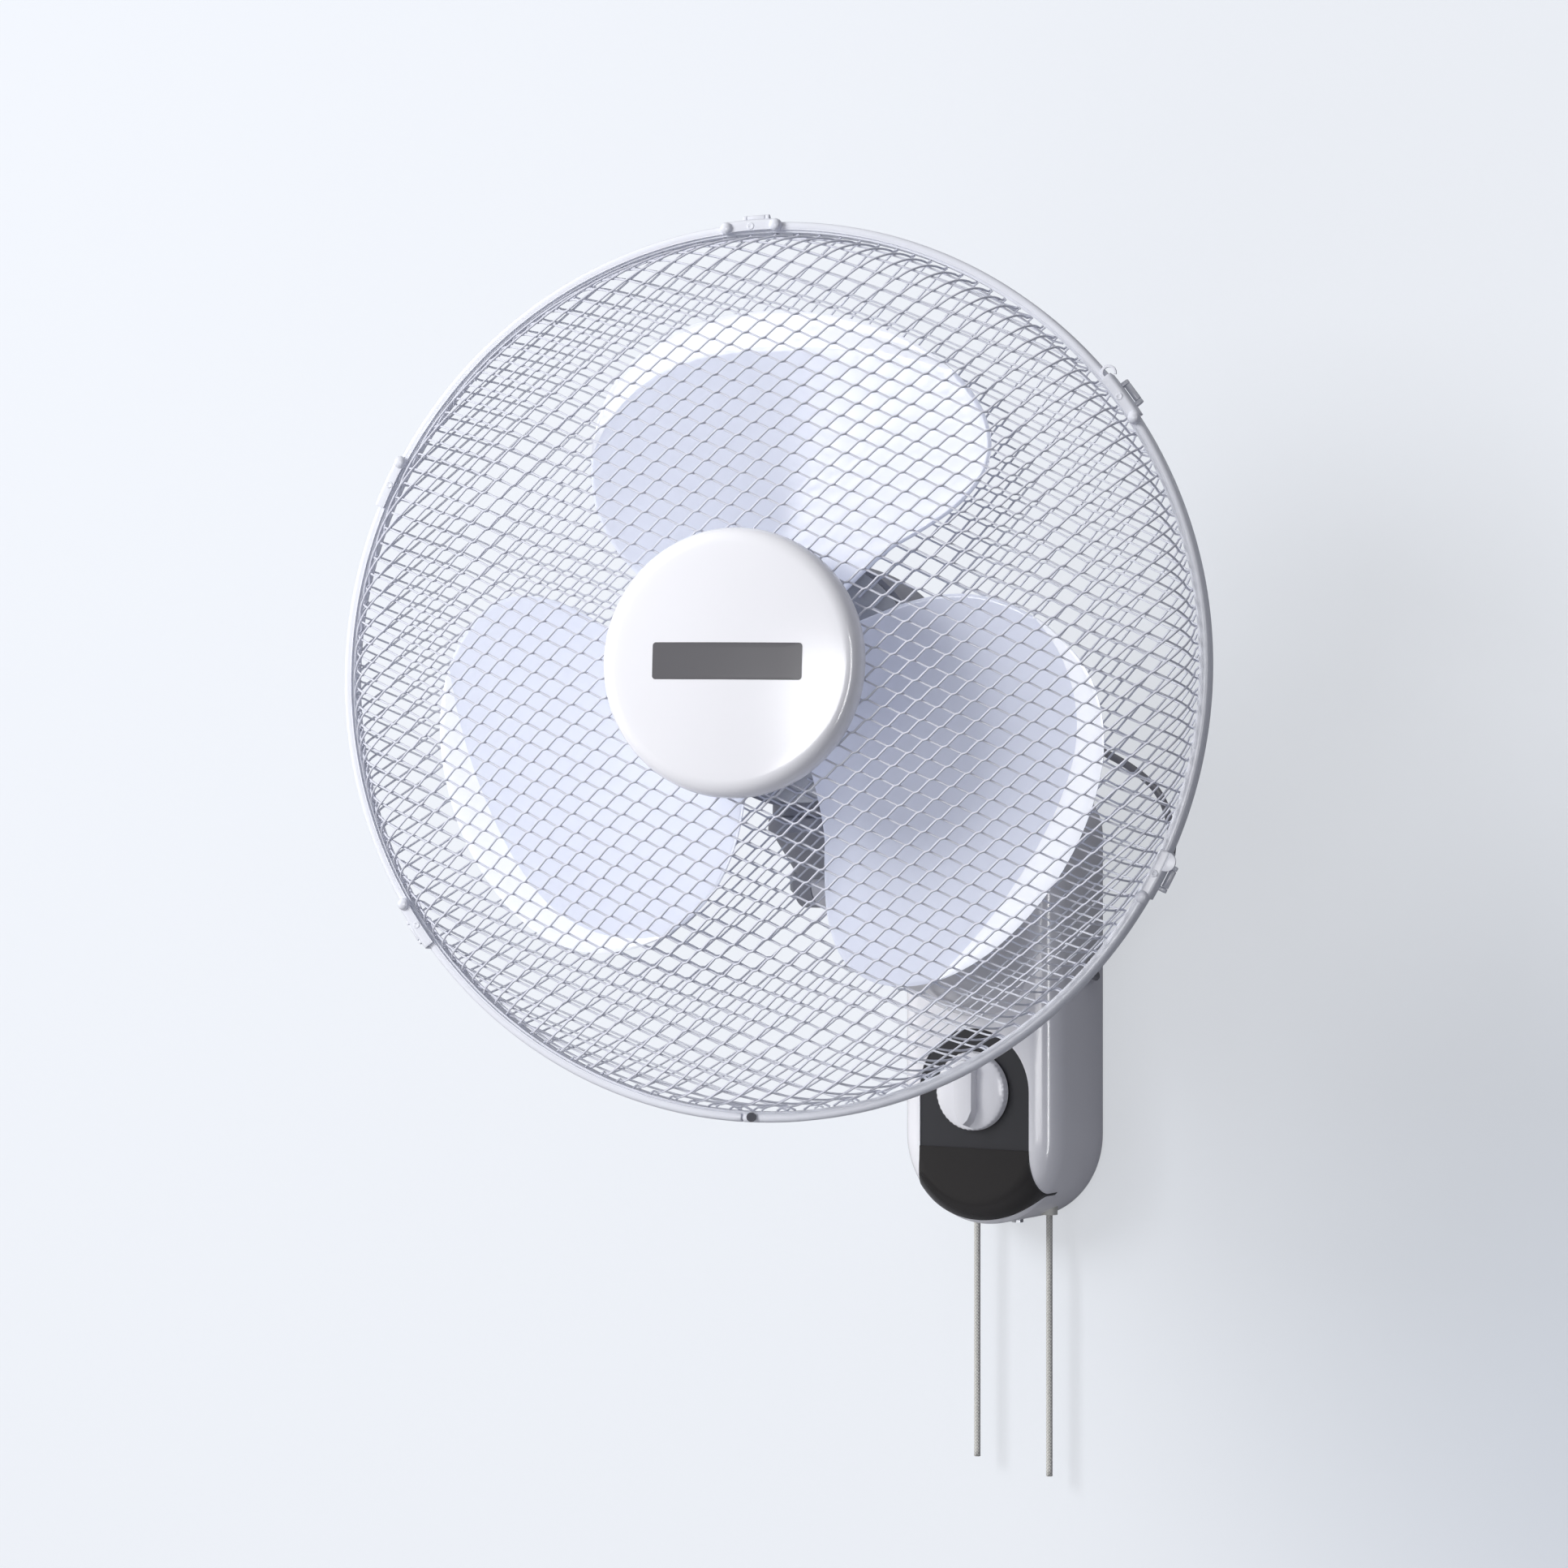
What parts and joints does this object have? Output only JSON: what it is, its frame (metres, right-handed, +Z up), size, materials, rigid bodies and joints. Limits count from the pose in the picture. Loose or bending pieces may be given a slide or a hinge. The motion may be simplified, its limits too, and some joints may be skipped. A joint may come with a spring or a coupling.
{
  "type": "wall mounted fan",
  "caption": "Wall fan with a translucent paddle blade in a diamond mesh guard, a tilting and swinging motor head on a curved arm, a timer knob and pull cords.",
  "frame": {"origin": "centre of the wall plate's back face, which lies on the wall", "axes": "+Y into the wall, +X to the right of a person who faces the fan, +Z up"},
  "size_m": [0.4231, 0.384, 0.6579],
  "materials": {
    "white_shell": "smooth, slightly glossy",
    "dark_panel": "smooth, slightly glossy",
    "dark_gloss": "high gloss",
    "motor_shell": "fine satin",
    "neck_plastic": "satin",
    "steel": "zinc plated",
    "lamination": "stacked sheet",
    "copper": "enamelled wire",
    "aluminium": "die cast",
    "bronze": "sintered",
    "translucent": "translucent, smooth",
    "wire_white": "smooth coating",
    "clip_plastic": "satin",
    "switch_plastic": "plain moulded",
    "cord": "braided",
    "cable_grey": "smooth sheath"
  },
  "bodies": {
    "base": {"base_housing": "white_shell", "panel_upper": "dark_panel", "panel_lower": "dark_gloss", "wall_plate": "steel", "base_screw": "steel", "timer_body": "switch_plastic", "speed_switch": "switch_plastic", "swing_switch": "switch_plastic", "speed_bush": "switch_plastic", "swing_bush": "switch_plastic", "tilt_bolt": "steel", "tilt_wing_nut": "steel", "tilt_washers": "steel", "base_relief": "cable_grey", "link_cable_lower": "cable_grey"},
    "knob": {"timer_knob": "white_shell", "timer_shaft": "steel"},
    "speed_pull": {"speed_slider": "switch_plastic", "speed_cord": "cord"},
    "swing_pull": {"swing_slider": "switch_plastic", "swing_cord": "cord"},
    "knuckle": {"tilt_knuckle": "neck_plastic"},
    "head": {"motor_cover": "motor_shell", "motor_front_plate": "aluminium", "stator_core": "lamination", "stator_windings": "copper", "motor_rear_plate": "aluminium", "front_bush": "bronze", "rear_bush": "bronze", "tie_screws": "steel", "swivel_bracket": "steel", "swivel_pin": "steel", "swing_motor": "steel", "rear_grille": "wire_white", "rear_band": "wire_white", "front_grille": "wire_white", "front_band": "wire_white", "rear_grille_nut": "clip_plastic", "front_cap": "white_shell", "cap_back_plate": "wire_white", "cap_screw": "steel", "rim_ring": "wire_white", "rim_screw": "steel", "rim_strap": "steel", "head_relief": "cable_grey", "link_cable_upper": "cable_grey"},
    "rotor": {"rotor_shaft": "steel", "rotor_core": "lamination", "fan_blade": "translucent", "blade_spinner": "clip_plastic"},
    "crank": {"swing_crank": "switch_plastic"},
    "clip_1": {"rim_clip_1": "clip_plastic"},
    "clip_2": {"rim_clip_2": "clip_plastic"},
    "clip_3": {"rim_clip_3": "clip_plastic"},
    "clip_4": {"rim_clip_4": "clip_plastic"},
    "clip_5": {"rim_clip_5": "clip_plastic"}
  },
  "joints": [
    {"name": "head_tilt", "type": "hinge", "parent": "base", "child": "knuckle", "pos_m": [0, -0.196, 0.068], "axis": [1, 0, 0], "range_deg": [-12, 20], "deforming": ["link_cable_lower"]},
    {"name": "head_oscillate", "type": "hinge", "parent": "knuckle", "child": "head", "pos_m": [0, -0.21936, 0.16918], "axis": [0, 0.0461, 0.9989], "range_deg": [-55.6, 24.4], "deforming": ["link_cable_upper"]},
    {"name": "blade_spin", "type": "hinge", "parent": "head", "child": "rotor", "pos_m": [0.0242, -0.30596, 0.17318], "axis": [-0.2689, 0.9621, -0.0444], "continuous": true},
    {"name": "crank_turn", "type": "hinge", "parent": "head", "child": "crank", "pos_m": [-0.0164, -0.16224, 0.13251], "axis": [0, 0.0461, 0.9989], "continuous": true},
    {"name": "knob_turn", "type": "hinge", "parent": "base", "child": "knob", "pos_m": [0, -0.058, -0.047], "axis": [0, 1, 0], "range_deg": [0, 300]},
    {"name": "speed_cord_pull", "type": "slide", "parent": "base", "child": "speed_pull", "axis": [0, 0, -1], "range_m": [0, 0.01], "stiffness_N_per_m": 400},
    {"name": "swing_cord_pull", "type": "slide", "parent": "base", "child": "swing_pull", "axis": [0, 0, -1], "range_m": [0, 0.01], "stiffness_N_per_m": 400},
    {"name": "clip_1_open", "type": "hinge", "parent": "head", "child": "clip_1", "pos_m": [0.19367, -0.24902, 0.304], "axis": [-0.5796, -0.1249, 0.8052], "range_deg": [0, 100]},
    {"name": "clip_2_open", "type": "hinge", "parent": "head", "child": "clip_2", "pos_m": [0.01212, -0.29561, 0.39413], "axis": [-0.9618, -0.2707, -0.0399], "range_deg": [0, 100]},
    {"name": "clip_3_open", "type": "hinge", "parent": "head", "child": "clip_3", "pos_m": [-0.17006, -0.3523, 0.26902], "axis": [-0.4071, -0.1553, -0.9001], "range_deg": [0, 100]},
    {"name": "clip_4_open", "type": "hinge", "parent": "head", "child": "clip_4", "pos_m": [-0.14931, -0.35682, 0.04519], "axis": [0.5661, 0.1206, -0.8154], "range_deg": [0, 100]},
    {"name": "clip_5_open", "type": "hinge", "parent": "head", "child": "clip_5", "pos_m": [0.21504, -0.25368, 0.07356], "axis": [0.4222, 0.1592, 0.8924], "range_deg": [0, 100]}
  ]
}
